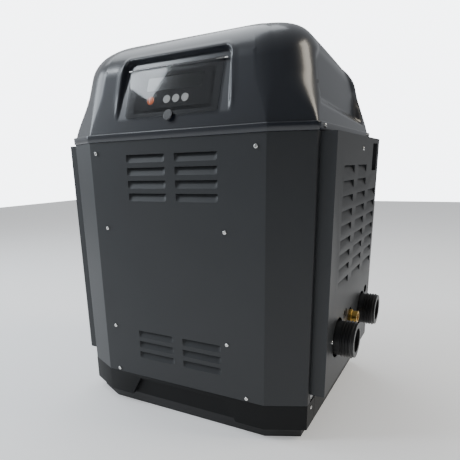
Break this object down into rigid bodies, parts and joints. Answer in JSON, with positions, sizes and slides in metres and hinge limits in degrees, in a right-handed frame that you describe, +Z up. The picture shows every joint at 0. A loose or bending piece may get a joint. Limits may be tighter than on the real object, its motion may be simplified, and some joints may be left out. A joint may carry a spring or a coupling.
{
  "type": "pool heater",
  "caption": "Louvred floor-standing cabinet that heats pool water, with a moulded hood, a hinged control window, side water unions and a gas inlet.",
  "frame": {"origin": "on the floor at the centre of the base, midway between the four anchor holes", "axes": "+Z up, -Y towards the front panel with the control window, +X towards the water unions"},
  "size_m": [0.6554, 0.506, 0.7881],
  "materials": {
    "plinth_plastic": "moulded black",
    "dark_coat": "black powder coat",
    "base_coat": "near-black powder coat",
    "panel_coat": "charcoal powder coat, satin",
    "galvanised": "galvanised",
    "bright_steel": "bright zinc",
    "hood_gloss": "gloss black moulding",
    "smoked_pane": "smoked",
    "tab_plastic": "dark gloss",
    "fascia_plastic": "black",
    "orange_button": "orange",
    "white_button": "white",
    "display": "dark display",
    "circuit_board": "green board",
    "dark_iron": "plain",
    "gasket_rubber": "sheet rubber",
    "copper": "copper",
    "header_plastic": "glass-filled moulding",
    "tail_plastic": "black moulding",
    "spring_steel": "wire",
    "sensor_plastic": "grey",
    "brass_fitting": "machined",
    "ceramic_board": "ceramic fibre board",
    "stainless": "brushed",
    "valve_casting": "die cast",
    "red_knob": "red",
    "black_pipe": "black pipe",
    "ceramic_white": "glazed ceramic",
    "motor_coat": "dark enamel",
    "grille_coat": "satin black"
  },
  "bodies": {
    "cabinet": {"base_facia": "base_coat", "base_tray": "dark_coat", "burner_tubes": "stainless", "bypass_spring": "spring_steel", "cabinet_screws": "bright_steel", "cable_gland": "tail_plastic", "combustion_chamber": "dark_coat", "control_board": "circuit_board", "control_fascia": "fascia_plastic", "corner_posts": "galvanised", "cover_stays": "galvanised", "display_module": "display", "drain_plugs": "tail_plastic", "electrics_tray": "galvanised", "fan_housing": "galvanised", "fan_motor": "motor_coat", "finned_tubes": "copper", "flue_collector": "stainless", "flue_duct": "stainless", "flue_grille": "grille_coat", "front_panel": "panel_coat", "gas_inlet": "brass_fitting", "gas_manifold": "galvanised", "gas_pipe": "black_pipe", "gas_valve": "valve_casting", "header_bolts": "bright_steel", "header_gaskets": "gasket_rubber", "high_limit_switch": "brass_fitting", "hinge_pins": "bright_steel", "hood": "hood_gloss", "igniter_and_flame_sensor": "ceramic_white", "ignition_module": "fascia_plastic", "insulation_boards": "ceramic_board", "left_side_panel": "panel_coat", "plinth": "plinth_plastic", "pressure_switch": "sensor_plastic", "rear_panel": "panel_coat", "rear_skirt": "base_coat", "return_header": "header_plastic", "right_side_panel": "panel_coat", "side_rails": "galvanised", "tail_seals": "gasket_rubber", "temperature_sensor": "brass_fitting", "terminal_block": "sensor_plastic", "top_collar": "galvanised", "transformer": "motor_coat", "tube_sheets": "dark_iron", "water_header": "header_plastic", "water_inlet_tail": "tail_plastic", "water_outlet_tail": "tail_plastic"},
    "window_flap": {"control_window": "smoked_pane", "thumb_tab": "tab_plastic"},
    "impeller": {"impeller": "stainless"},
    "valve_knob": {"valve_knob": "red_knob"},
    "bypass_poppet": {"bypass_poppet": "header_plastic"},
    "mode_button": {"mode_button": "orange_button"},
    "down_button": {"down_button": "white_button"},
    "up_button": {"up_button": "white_button"},
    "start_button": {"start_button": "white_button"}
  },
  "joints": [
    {"name": "window_hinge", "type": "hinge", "parent": "cabinet", "child": "window_flap", "pos_m": [0, -0.21128, 0.72639], "axis": [-1, 0, 0], "range_deg": [0, 95]},
    {"name": "mode_button_press", "type": "slide", "parent": "cabinet", "child": "mode_button", "axis": [0, 0.9373, -0.3486], "range_m": [0, 0.001], "stiffness_N_per_m": 900, "springref_m": -0.0015},
    {"name": "down_button_press", "type": "slide", "parent": "cabinet", "child": "down_button", "axis": [0, 0.9373, -0.3486], "range_m": [0, 0.001], "stiffness_N_per_m": 900, "springref_m": -0.0015},
    {"name": "up_button_press", "type": "slide", "parent": "cabinet", "child": "up_button", "axis": [0, 0.9373, -0.3486], "range_m": [0, 0.001], "stiffness_N_per_m": 900, "springref_m": -0.0015},
    {"name": "start_button_press", "type": "slide", "parent": "cabinet", "child": "start_button", "axis": [0, 0.9373, -0.3486], "range_m": [0, 0.001], "stiffness_N_per_m": 900, "springref_m": -0.0015},
    {"name": "fan_spin", "type": "hinge", "parent": "cabinet", "child": "impeller", "pos_m": [0, -0.004, 0.39], "axis": [0, 0, 1], "continuous": true},
    {"name": "valve_turn", "type": "hinge", "parent": "cabinet", "child": "valve_knob", "pos_m": [0.16, -0.188, 0.15], "axis": [0, 0, 1], "range_deg": [0, 90]},
    {"name": "bypass_lift", "type": "slide", "parent": "cabinet", "child": "bypass_poppet", "axis": [0, 1, 0], "range_m": [0, 0.01], "stiffness_N_per_m": 1500, "springref_m": -0.004}
  ]
}
